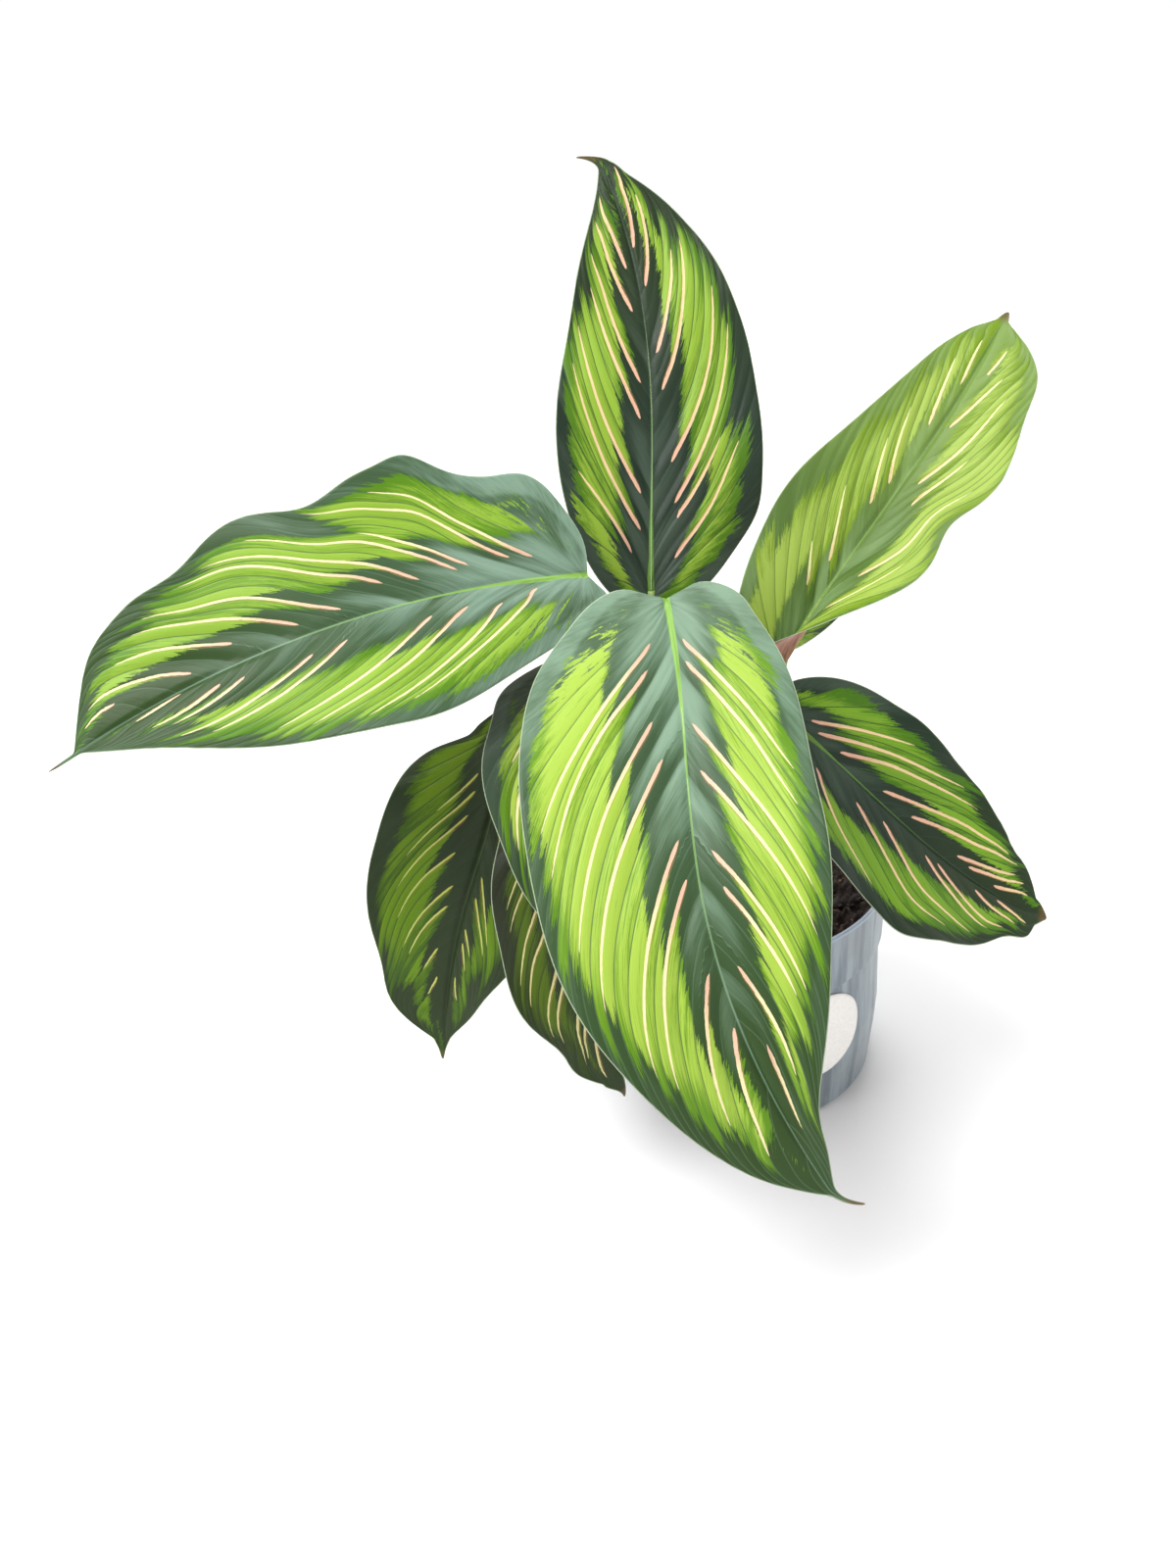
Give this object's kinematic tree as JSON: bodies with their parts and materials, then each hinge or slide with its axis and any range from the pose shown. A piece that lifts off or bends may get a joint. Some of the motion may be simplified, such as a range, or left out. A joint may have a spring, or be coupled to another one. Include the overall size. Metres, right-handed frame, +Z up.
{
  "type": "potted beauty star calathea",
  "caption": "Potted prayer plant with long, pointed, brightly striped leaves on slim stalks, growing in a plain round nursery pot.",
  "frame": {"origin": "centre of the pot's flat underside", "axes": "+Z up; the largest leaf hangs towards -Y, and the upper faces of most leaves look towards -Y"},
  "size_m": [0.4147, 0.3038, 0.4285],
  "materials": {
    "pot": "satin",
    "label": "satin",
    "soil": "matt",
    "leaf_top": "satin",
    "leaf_left": "satin",
    "leaf_front": "satin",
    "leaf_upper_right": "satin",
    "leaf_right": "satin",
    "leaf_lower_left": "satin",
    "leaf_under_front": "satin",
    "leaf_lowest": "satin",
    "leaf_back": "satin"
  },
  "bodies": {
    "root": {"pot": "pot", "pot_label": "label", "soil": "soil", "leaf_top": "leaf_top", "leaf_left": "leaf_left", "leaf_front": "leaf_front", "leaf_upper_right": "leaf_upper_right", "leaf_right": "leaf_right", "leaf_lower_left": "leaf_lower_left", "leaf_under_front": "leaf_under_front", "leaf_lowest": "leaf_lowest", "leaf_back": "leaf_back"}
  },
  "joints": []
}
